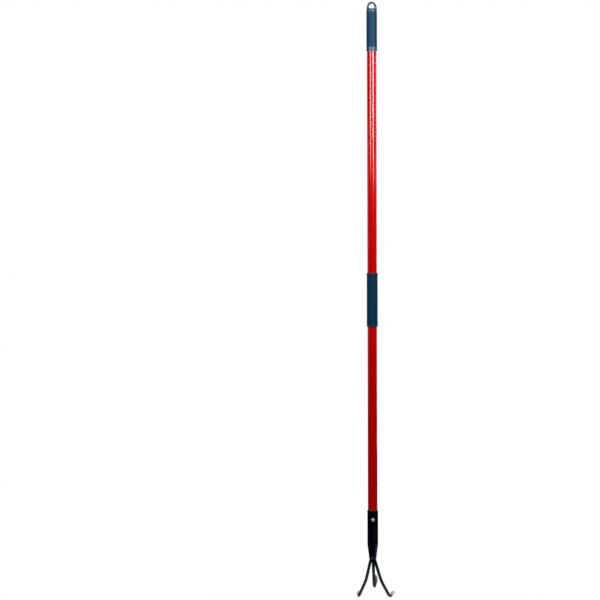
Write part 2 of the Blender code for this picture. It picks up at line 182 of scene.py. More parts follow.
class HeadSettings(bpy.types.PropertyGroup):
    wall: size("Wall", "Thickness of the socket", 0.0012)
    barrel: size("Barrel", "Straight length of the socket", 0.0885)
    taper: size("Taper", "Swaged length below the barrel", 0.0302)
    lip_height: size("Lip height", "Height of the rolled lip", 0.0030)
    lip_proud: size("Lip proud", "How far the rolled lip stands out", 0.00105)
    shoulder_blend: size("Shoulder blend", "Radius where the taper starts", 0.0120)
    neck_blend: size("Neck blend", "Radius where the taper ends", 0.0040)
    enamel: color("Enamel", "Gloss black of the head", (0.0008, 0.0012, 0.0040))
    screw_turn: angle("Screw turn", "Place of the screw, from the front towards +X", 12.0)
    screw_drop: size("Screw drop", "Screw's centre below the lip", 0.0250)
    screw_head: size("Screw head", "Diameter of the screw's head", 0.0090)
    screw_head_height: size("Screw head height", "Height of the screw's head", 0.0028)
    screw_rim: size("Screw rim", "Straight rim under the head's dome", 0.0009)
    screw_shank: size("Screw shank", "Diameter of the screw's shank", 0.0042)
    screw_length: size("Screw length", "Length of the screw under its head", 0.0120)
    screw_point: size("Screw point", "Tapered length of the screw", 0.0040)
    thread_pitch: size("Thread pitch", "Advance of the thread in one turn", 0.0014)
    recess_span: size("Recess span", "Span of the cross recess", 0.0048)
    recess_width: size("Recess width", "Width of one wing of the recess", 0.0011)
    recess_depth: size("Recess depth", "Depth of the cross recess", 0.0017)
    zinc: color("Zinc", "Plating of the screw", (0.80, 0.77, 0.72))


class TineSettings(bpy.types.PropertyGroup):
    bar: size("Bar", "Diameter of the round bar", 0.0078)
    seat: size("Seat", "Length of bar held in the neck", 0.0270)
    knee_drop: size("Knee drop", "Straight bar below the mouth", 0.0010)
    knee_radius: size("Knee radius", "Radius of the knee under the mouth", 0.0120)
    splay: angle("Splay", "Outward lean of the outer legs", 15.0)
    lean: angle("Lean", "Backward lean of the outer legs", 11.0)
    leg: size("Leg", "Straight leg of the outer tines", 0.0470)
    flare: angle("Flare", "Outward lean of the outer shins", 26.5)
    flare_lean: angle("Flare lean", "Backward lean of the outer shins", 12.0)
    flare_radius: size("Flare radius", "Radius of the sweep between leg and shin", 0.1400)
    shin: size("Shin", "Straight shin of the outer tines", 0.0252)
    hook_radius: size("Hook radius", "Radius of the outer hooks", 0.0095)
    tip_rise: angle("Tip rise", "How far the outer points rise", 22.0)
    tip_splay: angle("Tip splay", "How far the outer points turn outwards", 7.0)
    middle_leg: size("Middle leg", "Straight bar of the middle tine", 0.0040)
    middle_lean: angle("Middle lean", "Backward lean of the middle tine", 12.5)
    middle_lean_radius: size("Middle lean radius", "Radius of its sweep", 0.0600)
    middle_shin: size("Middle shin", "Straight shin of the middle tine", 0.0560)
    middle_hook_radius: size("Middle hook radius", "Radius of its hook", 0.0075)
    middle_tip_rise: angle("Middle tip rise", "How far its point rises", 58.0)
    leaf: size("Leaf", "Length of the forged point", 0.0310)
    leaf_width: size("Leaf width", "Width of the forged point", 0.0120)
    leaf_thickness: size("Leaf thickness", "Thickness of the forged point", 0.0030)
    nose: size("Nose", "Width left at the very tip", 0.0011)
    flattened: share("Flattened", "Share of the leaf in which the bar is hammered flat", 0.4)
    widest: share("Widest", "Share of the outer leaves at which they are widest", 0.5)
    middle_widest: share("Middle widest", "Share of the middle leaf at which it is widest", 0.36)
    belly: share("Belly", "Fullness of the sides towards the tip", 1.5)
    keenness: share("Keenness", "How far the sides are drawn out to edges", 0.6)
    thinning: share("Thinning", "Share of the thickness lost towards the tip", 0.7)
    steel: color("Steel", "Ground steel of the points", (0.57, 0.56, 0.58))
    stain: color("Stain", "Earth-stained steel", (0.28, 0.26, 0.30))
    middle_worn: share("Middle worn", "Share of the middle leaf's enamel that is worn off", 0.28)
    ripples: IntProperty(name="Ripples", description="Ripples round the weld bead", default=46)
    ripple_height: size("Ripple height", "Height of the weld's ripples", 0.00016)
    weld_fusing: size("Weld fusing", "Voxel size at which the weld is fused", 0.00022)


class StageSettings(bpy.types.PropertyGroup):
    azimuth: angle("Azimuth", "Camera's place round the tool, from the front towards +X", 10.5)
    lean: angle("Lean", "Tilt of the tool in the picture", 0.12)
    lens: share("Lens", "Focal length in millimetres", 400.0)
    frame_width: size("Frame width", "Width of the picture at the tool", 1.5707)
    axis_offset: size("Axis offset", "Tool's axis right of the picture's centre", 0.1892)
    frame_middle: size("Frame middle", "Height of the picture's centre", -0.7757)
    left_radiance: share("Left strip", "Brightness of the left strip", 10.0)
    right_radiance: share("Right strip", "Brightness of the right strip", 14.0)
    fill: share("Fill", "Soft light from all round", 0.10)
    floor: color("Floor", "Pale floor", (0.86, 0.86, 0.86))


# Meshes


def add_object(name, mesh):
    obj = bpy.data.objects.new(name, mesh)
    bpy.context.scene.collection.objects.link(obj)
    return obj


def from_shape(name, shape):
    """A new object with this bmesh's faces. The bmesh is freed."""
    mesh = bpy.data.meshes.new(name)
    shape.to_mesh(mesh)
    shape.free()
    return add_object(name, mesh)


def as_mesh(obj):
    """Swaps an object's modifiers for the plain mesh that they give."""
    graph = bpy.context.evaluated_depsgraph_get()
    mesh = bpy.data.meshes.new_from_object(obj.evaluated_get(graph))
    mesh.name = obj.name
    obj.modifiers.clear()
    obj.data = mesh
    return obj


def arc(centre, radii, start, end, steps):
    """Points of an elliptical arc about a (radius, height) centre, from one angle to another."""
    angles = [start + (end - start) * step / steps for step in range(steps + 1)]
    return [
        (centre[0] + radii[0] * math.cos(angle), centre[1] + radii[1] * math.sin(angle))
        for angle in angles
    ]


def bulge(centre, radii, end, steps):
    """Points of a rounded bulge, from its top outwards and down to an angle."""
    return arc(centre, radii, math.pi / 2, end, steps)


def filleted(corners):
    """Outline points from (radius, height, fillet) corners, each fillet tangent to both its sides."""
    points = []
    for index, (radius, height, fillet) in enumerate(corners):
        corner = Vector((radius, height))
        if not fillet:
            points.append((radius, height))
            continue
        before = (Vector(corners[index - 1][:2]) - corner).normalized()
        after = (Vector(corners[(index + 1) % len(corners)][:2]) - corner).normalized()
        half = before.angle(after) / 2
        centre = corner + (before + after).normalized() * (fillet / math.sin(half))
        first = corner + before * (fillet / math.tan(half)) - centre
        last = corner + after * (fillet / math.tan(half)) - centre
        start = math.atan2(first.y, first.x)
        sweep = (math.atan2(last.y, last.x) - start + math.pi) % (2 * math.pi) - math.pi
        points += arc(centre, (fillet, fillet), start, start + sweep, FILLET_STEPS)
    return points


def held(profile, closed):
    """Adds a point just inside both ends of each long side, so that its shading stays straight."""
    points = []
    for index, here in enumerate(profile):
        points.append(here)
        if index + 1 == len(profile) and not closed:
            break
        there = profile[(index + 1) % len(profile)]
        run = math.dist(here, there)
        if run > 4 * HOLD:
            for part in (HOLD / run, 1 - HOLD / run):
                points.append(tuple(a + (b - a) * part for a, b in zip(here, there)))
    return points


def turned(name, profile, steps=ROUND_STEPS):
    """Turns a profile about Z. It runs down the outer side, and ends on the axis or closes on itself."""
    closed = profile[0][0] > 0
    points = held(profile, closed)
    edges = [(index, index + 1) for index in range(len(points) - 1)]
    if closed:
        edges.append((len(points) - 1, 0))
    mesh = bpy.data.meshes.new(name)
    mesh.from_pydata([(radius, 0, height) for radius, height in points], edges, [])
    obj = add_object(name, mesh)
    screw = obj.modifiers.new("Turn", "SCREW")
    screw.axis = "Z"
    screw.angle = 2 * math.pi
    screw.steps = steps
    screw.render_steps = steps
    screw.use_merge_vertices = True
    screw.merge_threshold = WELD_LIMIT
    as_mesh(obj)
    shape = bmesh.new()
    shape.from_mesh(obj.data)
    bmesh.ops.recalc_face_normals(shape, faces=shape.faces)
    shape.to_mesh(obj.data)
    shape.free()
    return obj


def lofted(name, rings):
    """Skins closed rings of equal counts, in order, and caps both ends."""
    shape = bmesh.new()
    loops = [[shape.verts.new(point) for point in ring] for ring in rings]
    count = len(loops[0])
    for near, far in zip(loops, loops[1:]):
        for index in range(count):
            after = (index + 1) % count
            shape.faces.new((near[index], near[after], far[after], far[index]))
    shape.faces.new(list(reversed(loops[0])))
    shape.faces.new(loops[-1])
    bmesh.ops.recalc_face_normals(shape, faces=shape.faces)
    return from_shape(name, shape)


def absorb(obj, other):
    """Adds the other object's faces to this one's mesh and removes it."""
    shape = bmesh.new()
    shape.from_mesh(obj.data)
    shape.from_mesh(other.data)
    shape.to_mesh(obj.data)
    shape.free()
    bpy.data.objects.remove(other, do_unlink=True)


def fuse(obj, voxel, fairing):
    """Fuses overlapping closed shells into one skin and fairs it, as a mould or a weld pool would."""
    remesh = obj.modifiers.new("Fuse", "REMESH")
    remesh.mode = "VOXEL"
    remesh.voxel_size = voxel
    smooth = obj.modifiers.new("Fair", "SMOOTH")
    smooth.factor = 0.5
    smooth.iterations = fairing
    return as_mesh(obj)


def cut(obj, cutter):
    """Cuts the other object out of this one and removes it."""
    boolean = obj.modifiers.new("Cut", "BOOLEAN")
    boolean.object = cutter
    boolean.operation = "DIFFERENCE"
    boolean.use_self = True
    as_mesh(obj)
    bpy.data.objects.remove(cutter, do_unlink=True)


def rod(name, radius, start, end):
    """A plain round rod between two points."""
    along = end - start
    shape = bmesh.new()
    bmesh.ops.create_cone(
        shape, cap_ends=True, segments=BAR_SIDES, radius1=radius, radius2=radius, depth=along.length
    )
    turn = along.to_track_quat("Z", "Y").to_matrix().to_4x4()
    shape.transform(Matrix.Translation((start + end) / 2) @ turn)
    return from_shape(name, shape)


def finish(obj, material, slot, *nodes):
    """Shades a finished piece, gives it its material and sets it on the frame in place of its nodes."""
    obj.data.materials.clear()
    obj.data.materials.append(material)
    obj.data.shade_smooth()
    obj.data.set_sharp_from_angle(angle=CREASE_ANGLE)
    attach(obj, "root")
    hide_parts(*nodes)


# Geometry Nodes


def add_node(tree, kind, inputs=None, **settings):
    """Adds a node with its settings, and gives its inputs a value or a link each."""
    node = tree.nodes.new(kind)
    for name, value in settings.items():
        setattr(node, name, value)
    for name, value in (inputs or {}).items():
        if isinstance(value, bpy.types.NodeSocket):
            tree.links.new(value, node.inputs[name])
        else:
            node.inputs[name].default_value = value
    return node


def calculate(tree, operation, *values):
    """One step of arithmetic on numbers or sockets."""
    return add_node(tree, "ShaderNodeMath", dict(enumerate(values)), operation=operation).outputs[0]


def product(tree, first, *others):
    """Multiplies numbers or sockets."""
    for other in others:
        first = calculate(tree, "MULTIPLY", first, other)
    return first


def distance_from_axis(tree, axes):
    """How far a place is from the Z axis, from its separated coordinates."""
    squares = [product(tree, axes[axis], axes[axis]) for axis in "XY"]
    return calculate(tree, "SQRT", calculate(tree, "ADD", *squares))


def new_geometry_tree(name, sockets):
    """A Geometry Nodes tree with named inputs, and the sockets that give them inside it."""
    tree = bpy.data.node_groups.new(name, "GeometryNodeTree")
    tree.interface.new_socket("Geometry", in_out="OUTPUT", socket_type="NodeSocketGeometry")
    tree.interface.new_socket("Geometry", in_out="INPUT", socket_type="NodeSocketGeometry")
    for label, kind in sockets:
        tree.interface.new_socket(label, in_out="INPUT", socket_type=kind)
    return tree, tree.nodes.new("NodeGroupInput").outputs


def end_tree(tree, geometry, material):
    """Ends a tree in Realize Instances and Set Material."""
    real = add_node(tree, "GeometryNodeRealizeInstances", {"Geometry": geometry})
    made = add_node(tree, "GeometryNodeSetMaterial", {"Geometry": real.outputs[0], "Material": material})
    output = tree.nodes.new("NodeGroupOutput")
    tree.links.new(made.outputs[0], output.inputs[0])


def run_tree(obj, tree, **values):
    """Runs a tree on an object with its named inputs, and keeps the plain mesh that it gives."""
    modifier = obj.modifiers.new(tree.name, "NODES")
    modifier.node_group = tree
    for item in tree.interface.items_tree:
        if item.in_out == "INPUT" and item.name in values:
            modifier[item.identifier] = values[item.name]
    return as_mesh(obj)


def weld_ripple_tree():
    """Raises the crescent ripples of a run weld round the outer side of a bead."""
    sockets = [("Ripples", "NodeSocketInt")]
    sockets += [(label, "NodeSocketFloat") for label in ("Height", "Middle", "Reach", "Inner", "Outer")]
    tree, given = new_geometry_tree("weld_ripples", [*sockets, ("Material", "NodeSocketMaterial")])
    place = add_node(tree, "GeometryNodeInputPosition").outputs[0]
    axes = add_node(tree, "ShaderNodeSeparateXYZ", {0: place}).outputs
    turn = calculate(tree, "ARCTAN2", axes["Y"], axes["X"])
    level = calculate(tree, "DIVIDE", calculate(tree, "SUBTRACT", axes["Z"], given["Middle"]), given["Reach"])
    bow = product(tree, level, level, RIPPLE_BOW)
    phase = calculate(tree, "ADD", product(tree, turn, given["Ripples"], 0.5), bow)
    crest = calculate(tree, "ABSOLUTE", calculate(tree, "SINE", phase))
    grain = {"Vector": place, "Scale": RIPPLE_NOISE, "Detail": 1.0}
    wander = add_node(tree, "ShaderNodeTexNoise", grain).outputs[0]
    lift = calculate(tree, "ADD", crest, product(tree, wander, RIPPLE_WANDER))
    lift = calculate(tree, "SUBTRACT", lift, RIPPLE_MIDDLE)
    bounds = (given["Inner"], given["Outer"])
    outer = ranged(tree, distance_from_axis(tree, axes), bounds, (0.0, 1.0), True)
    height = product(tree, lift, given["Height"], outer)
    normal = add_node(tree, "GeometryNodeInputNormal").outputs[0]
    offset = add_node(tree, "ShaderNodeVectorMath", {0: normal, "Scale": height}, operation="SCALE")
    lifted = {"Geometry": given["Geometry"], "Offset": offset.outputs[0]}
    moved = add_node(tree, "GeometryNodeSetPosition", lifted)
    end_tree(tree, moved.outputs[0], given["Material"])
    return tree


def wing_tree():
    """Repeats one wing of a screw's recess round the axis."""
    sockets = (("Wings", "NodeSocketInt"), ("Material", "NodeSocketMaterial"))
    tree, given = new_geometry_tree("recess_wings", sockets)
    points = add_node(tree, "GeometryNodePoints", {"Count": given["Wings"]})
    index = add_node(tree, "GeometryNodeInputIndex").outputs[0]
    step = calculate(tree, "DIVIDE", 2 * math.pi, given["Wings"])
    turn = add_node(tree, "ShaderNodeCombineXYZ", {"Z": calculate(tree, "MULTIPLY", index, step)}).outputs[0]
    rotation = add_node(tree, "FunctionNodeEulerToRotation", {0: turn}).outputs[0]
    wings = add_node(
        tree,
        "GeometryNodeInstanceOnPoints",
        {"Points": points.outputs[0], "Instance": given["Geometry"], "Rotation": rotation},
    )
    end_tree(tree, wings.outputs[0], given["Material"])
    return tree


# Finishes


def new_material(name, base, roughness, **constants):
    """A material and its tree, with these constants on the sockets of its Principled shader."""
    material = bpy.data.materials.new(name)
    material.use_nodes = True
    tree = material.node_tree
    surface = tree.nodes["Principled BSDF"]
    surface.inputs["Base Color"].default_value = (*base, 1.0)
    surface.inputs["Roughness"].default_value = roughness
    for label, value in constants.items():
        surface.inputs[label.replace("_", " ").title().replace("Ior", "IOR")].default_value = value
    return material, tree


def object_place(tree, stretch=(1.0, 1.0, 1.0)):
    """Object coordinates, stretched where a pattern runs along the piece."""
    place = add_node(tree, "ShaderNodeTexCoord").outputs["Object"]
    return add_node(tree, "ShaderNodeMapping", {"Vector": place, "Scale": stretch}).outputs[0]


def noise(tree, width, detail=2.0, stretch=(1.0, 1.0, 1.0)):
    """Noise whose features are about this wide, in metres."""
    return add_node(
        tree,
        "ShaderNodeTexNoise",
        {"Vector": object_place(tree, stretch), "Scale": 1 / width, "Detail": detail},
    ).outputs["Fac"]


def ranged(tree, value, source, target, smooth=False):
    """Maps a value from one range to another."""
    return add_node(
        tree,
        "ShaderNodeMapRange",
        {
            "Value": value,
            "From Min": source[0],
            "From Max": source[1],
            "To Min": target[0],
            "To Max": target[1],
        },
        interpolation_type="SMOOTHSTEP" if smooth else "LINEAR",
    ).outputs[0]


def mixed(tree, factor, first, second):
    """A colour between two, each a colour or a socket."""
    node = add_node(tree, "ShaderNodeMix", {0: factor}, data_type="RGBA")
    for socket, value in ((node.inputs[6], first), (node.inputs[7], second)):
        if isinstance(value, bpy.types.NodeSocket):
            tree.links.new(value, socket)
        else:
            socket.default_value = (*value, 1.0)
    return node.outputs[2]


def dressed(material, base, roughness, *layers):
    """Gives a material its colour, its roughness, and bumps as pairs of a 0 to 1 height and a depth."""
    tree = material.node_tree
    surface = tree.nodes["Principled BSDF"]
    tree.links.new(base, surface.inputs["Base Color"])
    tree.links.new(roughness, surface.inputs["Roughness"])
    normal = None
    for height, depth in layers:
        bump = add_node(tree, "ShaderNodeBump", {"Height": height, "Distance": depth, "Strength": 1.0})
        if normal:
            tree.links.new(normal, bump.inputs["Normal"])
        normal = bump.outputs[0]
    tree.links.new(normal, surface.inputs["Normal"])
    return material


def darker(base, factor):
    """This share of a colour."""
    return tuple(channel * factor for channel in base)


def uneven(tree, pattern, base, shade, spread=(0.3, 0.7)):
    """The base colour, which falls to this share of itself where the pattern is low."""
    return mixed(tree, ranged(tree, pattern, spread, (0.0, 1.0)), darker(base, shade), base)


def gloss_red_paint(shaft):
    """Powder coat: a faint orange peel, slight unevenness of colour, and rub marks along the tube."""
    material, tree = new_material("gloss_red_paint", shaft.paint, 0.13, specular_ior_level=0.64)
    rubbed = noise(tree, 0.0012, 3.0, (1.0, 1.0, 0.02))
    return dressed(
        material,
        uneven(tree, noise(tree, 0.030, 3.0), shaft.paint, 0.93),
        ranged(tree, rubbed, (0.35, 0.75), (0.12, 0.14)),
        (noise(tree, shaft.peel_size, 1.0), shaft.peel_depth),
        (noise(tree, shaft.peel_size / 5, 2.0), shaft.peel_depth / 12),
    )


def smooth_navy(name, base, roughness, gloss):
    """Smooth moulded plastic, for the collars and the cap: a soft unevenness and faint handling marks."""
    material, tree = new_material(name, base, roughness, specular_ior_level=gloss)
    handled = noise(tree, 0.0011, 4.0)
    return dressed(
        material,
        uneven(tree, noise(tree, 0.018, 3.0), base, 0.92),
        ranged(tree, handled, (0.4, 0.8), (roughness - 0.02, roughness + 0.02)),
        (noise(tree, 0.0040, 1.0), 0.000010),
        (handled, 0.000001),
    )


def grained_navy(name, grips, base, roughness, gloss, tint):
    """Pebbled satin plastic, for the stretches that a hand holds."""
    material, tree = new_material(
        name, base, roughness, specular_ior_level=gloss, specular_tint=(*tint, 1.0)
    )
    pebbles = add_node(
        tree,
        "ShaderNodeTexVoronoi",
        {"Vector": object_place(tree), "Scale": 1 / grips.grain_size, "Smoothness": 0.6},
        feature="SMOOTH_F1",
    ).outputs["Distance"]
    return dressed(
        material,
        uneven(tree, noise(tree, 0.018, 3.0), base, 0.88),
        ranged(tree, pebbles, (0.1, 0.8), (roughness - 0.05, roughness + 0.05)),
        (pebbles, grips.grain_depth),
        (noise(tree, grips.grain_size / 4, 3.0), grips.grain_depth / 3),
    )


def grain_between(obj, material, low, high):
    """Gives the faces between two heights a further material."""
    obj.data.materials.append(material)
    for face in obj.data.polygons:
        if low < face.center.z < high:
            face.material_index = len(obj.data.materials) - 1


def black_enamel(name, head, roughness=0.20):
    """Gloss enamel over steel: a thin skin with runs, dust and a soft unevenness."""
    material, tree = new_material(name, head.enamel, roughness, specular_ior_level=0.5)
    scuffed = noise(tree, 0.0009, 4.0, (1.0, 1.0, 0.06))
    return dressed(
        material,
        uneven(tree, noise(tree, 0.012, 3.0), head.enamel, 0.7, (0.35, 0.65)),
        ranged(tree, scuffed, (0.4, 0.8), (roughness - 0.02, roughness + 0.04)),
        (noise(tree, 0.0022, 1.0), 0.000008),
        (noise(tree, 0.0004, 2.0), 0.000001),
    )


def tine_finish(name, head, tines, worn):
    """Enamel on the bar, worn through to ground steel on the leaf: this share of it, and all at its tip."""
    material, tree = new_material(name, head.enamel, 0.24)
    along = add_node(tree, "ShaderNodeAttribute", attribute_name="along").outputs["Fac"]
    across = add_node(tree, "ShaderNodeAttribute", attribute_name="across").outputs["Fac"]
    wander = product(tree, calculate(tree, "SUBTRACT", noise(tree, 0.0016, 4.0), 0.5), 0.006)
    ragged = calculate(tree, "ADD", along, wander)
    reached = ranged(tree, ragged, (0.0022, 0.0034), (0.0, 1.0), True)
    tip = ranged(tree, ragged, (0.80 * tines.leaf, 0.95 * tines.leaf), (worn, 1.0), True)
    bare = product(tree, reached, tip)
    kept = calculate(tree, "SUBTRACT", 1.0, bare)
    scratches = {"X": product(tree, along, 3200.0), "Y": product(tree, across, 90.0)}
    leaf_place = add_node(tree, "ShaderNodeCombineXYZ", scratches).outputs[0]
    grinding = add_node(
        tree, "ShaderNodeTexNoise", {"Vector": leaf_place, "Scale": 1.0, "Detail": 3.0}
    ).outputs["Fac"]
    stain = ranged(tree, noise(tree, 0.0045, 4.0), (0.45, 0.75), (0.0, 0.55), True)
    steel = mixed(tree, stain, uneven(tree, grinding, tines.steel, 0.78), tines.stain)
    tree.links.new(bare, tree.nodes["Principled BSDF"].inputs["Metallic"])
    satin = ranged(tree, grinding, (0.3, 0.7), (0.46, 0.58))
    gloss = ranged(tree, noise(tree, 0.0012, 4.0), (0.4, 0.8), (0.20, 0.34))
    return dressed(
        material,
        mixed(tree, bare, head.enamel, steel),
        calculate(tree, "ADD", product(tree, satin, bare), product(tree, gloss, kept)),
        (noise(tree, 0.0060, 1.0), 0.00005),
        (kept, 0.00008),
        (product(tree, grinding, bare), 0.000015),
    )


def zinc_plate(head):
    """Bright zinc: a soft crystalline bloom and fine turning marks."""
    material, tree = new_material("zinc_plate", head.zinc, 0.50, metallic=0.6)
    bloom = noise(tree, 0.0012, 4.0)
    return dressed(
        material,
        uneven(tree, bloom, head.zinc, 0.72),
        ranged(tree, bloom, (0.3, 0.7), (0.44, 0.58)),
        (noise(tree, 0.0003, 2.0), 0.000006),
    )


def drawn_steel():
    """Bare drawn tube: draw lines along it and a dull oiled bloom."""
    material, tree = new_material("drawn_steel", (0.40, 0.39, 0.39), 0.42, metallic=1.0)
    lines = noise(tree, 0.0006, 4.0, (1.0, 1.0, 0.01))
    streaks = ranged(tree, lines, (0.3, 0.7), (0.0, 1.0))
    return dressed(
        material,
        mixed(tree, streaks, (0.27, 0.26, 0.26), (0.44, 0.43, 0.43)),
        ranged(tree, lines, (0.3, 0.7), (0.34, 0.52)),
        (lines, 0.000010),
    )


# Shaft


def tube_profile(shaft, top, bottom):
    """Section of one tube's wall, between two heights."""
    bore = SHAFT_RADIUS - shaft.wall
    return filleted(
        [
            (SHAFT_RADIUS, top, shaft.end_rounding),
            (SHAFT_RADIUS, bottom, shaft.end_rounding),
            (bore, bottom, 0),
            (bore, top, 0),
        ]
    )


class CULTIVATOR_OT_shaft(bpy.types.Operator):
    """Make both painted tubes of the shaft, and give the liner inside them its steel"""

    bl_idname = "cultivator.shaft"
    bl_label = "Make Shaft"

    def execute(self, context):
        shaft = context.scene.cultivator_shaft
        paint = gloss_red_paint(shaft)
        upper = turned("shaft_upper", tube_profile(shaft, UPPER_HIGH.z, UPPER_LOW.z))
        finish(upper, paint, "red_paint", "upper_tube")
        lower = turned("shaft_lower", tube_profile(shaft, LOWER_HIGH.z, LOWER_LOW.z))
        cut(lower, screw_hole("tube_hole", context.scene.cultivator_head))
        finish(lower, paint, "red_paint", "lower_tube")
        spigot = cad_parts["joint_spigot"]
        spigot.data.materials.clear()
        spigot.data.materials.append(drawn_steel())
        return {"FINISHED"}


# Grips


def loop_strand(grips):
    """The hang loop: a rounded strand bent to half an ellipse, deepest and thickest at its feet."""
    sill_z = -grips.opening_height
    half_width = (grips.opening_width + grips.strand) / 2
    height = grips.opening_height + grips.strand / 2
    corners = []
    for out, depth in ((1, 1), (1, -1), (-1, -1), (-1, 1)):
        corners.append((out * grips.strand / 2, depth * grips.crown_depth / 2, grips.strand_rounding))
    section = filleted(corners)
    root_z = sill_z - grips.shoulder_height - grips.cap_depth / 2
    bow = arc((0, sill_z), (half_width, height), 0, math.pi, LOOP_STEPS)
    path = [(half_width, root_z), *bow, (-half_width, root_z)]
    rings = []
    for x, z in path:
        outward = Vector((1, 0, 0)) if x > 0 else Vector((-1, 0, 0))
        if z > sill_z:
            outward = Vector((x / half_width**2, 0, (z - sill_z) / height**2)).normalized()
        flare = 1 + (grips.foot_depth / grips.crown_depth - 1) * (1 - eased(max(0.0, z - sill_z) / height))
        foot = grips.foot_fillet * (1 - eased(min(1.0, max(0.0, z - sill_z) / (2 * grips.foot_fillet))))
        ring = []
        for out, depth in section:
            inner = foot * (0.5 - out / grips.strand)
            ring.append(Vector((x, 0, z)) + outward * (out - inner) + Vector((0, depth * flare, 0)))
        rings.append(ring)
    return lofted("hang_loop", rings)


def eased(part):
    """A share from 0 to 1 that starts and ends gently."""
    return part * part * (3 - 2 * part)


class CULTIVATOR_OT_end_grip(bpy.types.Operator):
    """Make the end grip: the cap fused with its hang loop, and the grained sleeve with its glossy band"""

    bl_idname = "cultivator.end_grip"
    bl_label = "Make End Grip"

    def execute(self, context):
        grips = context.scene.cultivator_grips
        sill_z = -grips.opening_height
        shoulder_z = sill_z - grips.shoulder_height
        bore_z = shoulder_z - grips.cap_depth
        bottom_z = END_GRIP_LOW.z
        band_z = bottom_z + grips.band_height
        cap_corners = [
            (0, sill_z, 0),
            (END_GRIP_RADIUS - grips.shoulder_taper, sill_z, grips.shoulder_rounding),
            (END_GRIP_RADIUS, shoulder_z, 0),
            (SHAFT_RADIUS, shoulder_z, 0),
            (SHAFT_RADIUS, bore_z, 0),
            (0, bore_z, 0),
        ]
        cap = turned("end_grip_cap", filleted(cap_corners))
        absorb(cap, loop_strand(grips))
        fuse(cap, grips.fusing, CAP_FAIRING)
        glossy = smooth_navy("navy_glossy", grips.band_plastic, roughness=0.42, gloss=0.62)
        finish(cap, glossy, "navy_plastic", "end_grip")
        grain_radius = END_GRIP_RADIUS - grips.grain_inset
        sleeve_corners = [
            (grain_radius, shoulder_z, grips.grain_inset),
            (grain_radius, band_z + grips.grain_inset, 0),
            (END_GRIP_RADIUS, band_z, grips.grain_inset / 2),
            (END_GRIP_RADIUS, bottom_z, grips.edge),
            (SEAT_RADIUS, bottom_z, 0),
            (SEAT_RADIUS, shoulder_z, 0),
        ]
        sleeve = turned("end_grip_sleeve", filleted(sleeve_corners))
        finish(sleeve, glossy, "navy_plastic", "end_grip")
        grain = grained_navy(
            "navy_end_grain", grips, grips.plastic, roughness=0.54, gloss=0.24, tint=(0.65, 0.88, 1.0)
        )
        grain_between(sleeve, grain, band_z, shoulder_z)
        return {"FINISHED"}


class CULTIVATOR_OT_mid_grip(bpy.types.Operator):
    """Make the mid grip, with its collars, groove and rims"""

    bl_idname = "cultivator.mid_grip"
    bl_label = "Make Mid Grip"

    def execute(self, context):
        grips = context.scene.cultivator_grips
        top_z, bottom_z = MID_GRIP_HIGH.z, MID_GRIP_LOW.z
        body = SEAT_RADIUS + grips.wall
        collar = body + grips.collar_proud
        rim = collar + grips.rim_proud
        groove = body - grips.groove_depth
        groove_top = top_z - grips.top_collar
        groove_bottom = groove_top - grips.groove_width
        collar_z = bottom_z + grips.bottom_collar
        soft = grips.edge / 3
        corners = [
            (collar, top_z, grips.edge),
            (collar, groove_top, soft),
            (groove, groove_top, soft / 2),
            (groove, groove_bottom, soft / 2),
            (body, groove_bottom - grips.groove_depth, soft),
            (body, collar_z + grips.rim_height, soft),
            (collar, collar_z + grips.rim_height - grips.rim_proud, soft / 2),
            (collar, collar_z, soft / 2),
            (body, collar_z - grips.rim_proud, soft / 2),
            (body, bottom_z + 2 * grips.rim_height, soft),
            (rim, bottom_z + grips.rim_height, soft),
            (rim, bottom_z, grips.edge),
            (SEAT_RADIUS, bottom_z, 0),
            (SEAT_RADIUS, top_z, 0),
        ]
        grip = turned("mid_grip_moulding", filleted(corners))
        smooth = smooth_navy("navy_collar", grips.mid_plastic, roughness=0.34, gloss=0.30)
        finish(grip, smooth, "navy_plastic", "mid_grip")
        grain = grained_navy(
            "navy_mid_grain", grips, grips.mid_plastic, roughness=0.50, gloss=0.30, tint=(0.20, 0.60, 1.0)
        )
        grain_between(grip, grain, bottom_z - FIT_GAP, groove_bottom - grips.groove_depth)
        # The groove gets a darker copy of the mid grip's navy: painted shade in the recess.
        groove_painted_shade = smooth_navy("navy_groove_shade", darker(grips.mid_plastic, 0.60), roughness=0.55, gloss=0.15)
        grain_between(grip, groove_painted_shade, groove_bottom, groove_top)
        return {"FINISHED"}


# Head


class CULTIVATOR_OT_socket(bpy.types.Operator):
    """Make the socket: rolled lip, straight barrel and swaged taper"""

    bl_idname = "cultivator.socket"
    bl_label = "Make Socket"

    def execute(self, context):
        head = context.scene.cultivator_head
        lip_z = SOCKET_HIGH.z
        radius = SEAT_RADIUS + head.wall
        taper_z = lip_z - head.barrel
        land_z = taper_z - head.taper
        mouth_radius = mouth_bore(context.scene.cultivator_tines) + head.wall
        half_lip = head.lip_height / 2
        lip = bulge((radius, lip_z - half_lip), (head.lip_proud, half_lip), -math.pi / 2, 3 * FILLET_STEPS)
        walls = filleted(
            [
                (radius, lip_z - head.lip_height, 0),
                (radius, taper_z, head.shoulder_blend),
                (mouth_radius, land_z, head.neck_blend),
                (mouth_radius, MOUTH_Z, FIT_GAP),
                (mouth_radius - head.wall, MOUTH_Z, FIT_GAP),
                (mouth_radius - head.wall, land_z, head.neck_blend),
                (SEAT_RADIUS, taper_z, head.shoulder_blend),
                (SEAT_RADIUS, lip_z, 0),
            ]
        )
        socket = turned("socket_shell", [*lip, *walls[1:]])
        cut(socket, screw_hole("socket_hole", head))
        finish(socket, black_enamel("socket_enamel", head), "black_enamel", "head_socket")
        return {"FINISHED"}


def mouth_bore(tines):
    """Radius of the socket's mouth, which just takes the bundle of three bars."""
    return bundle_radius(tines) + tines.bar / 2 + FIT_GAP


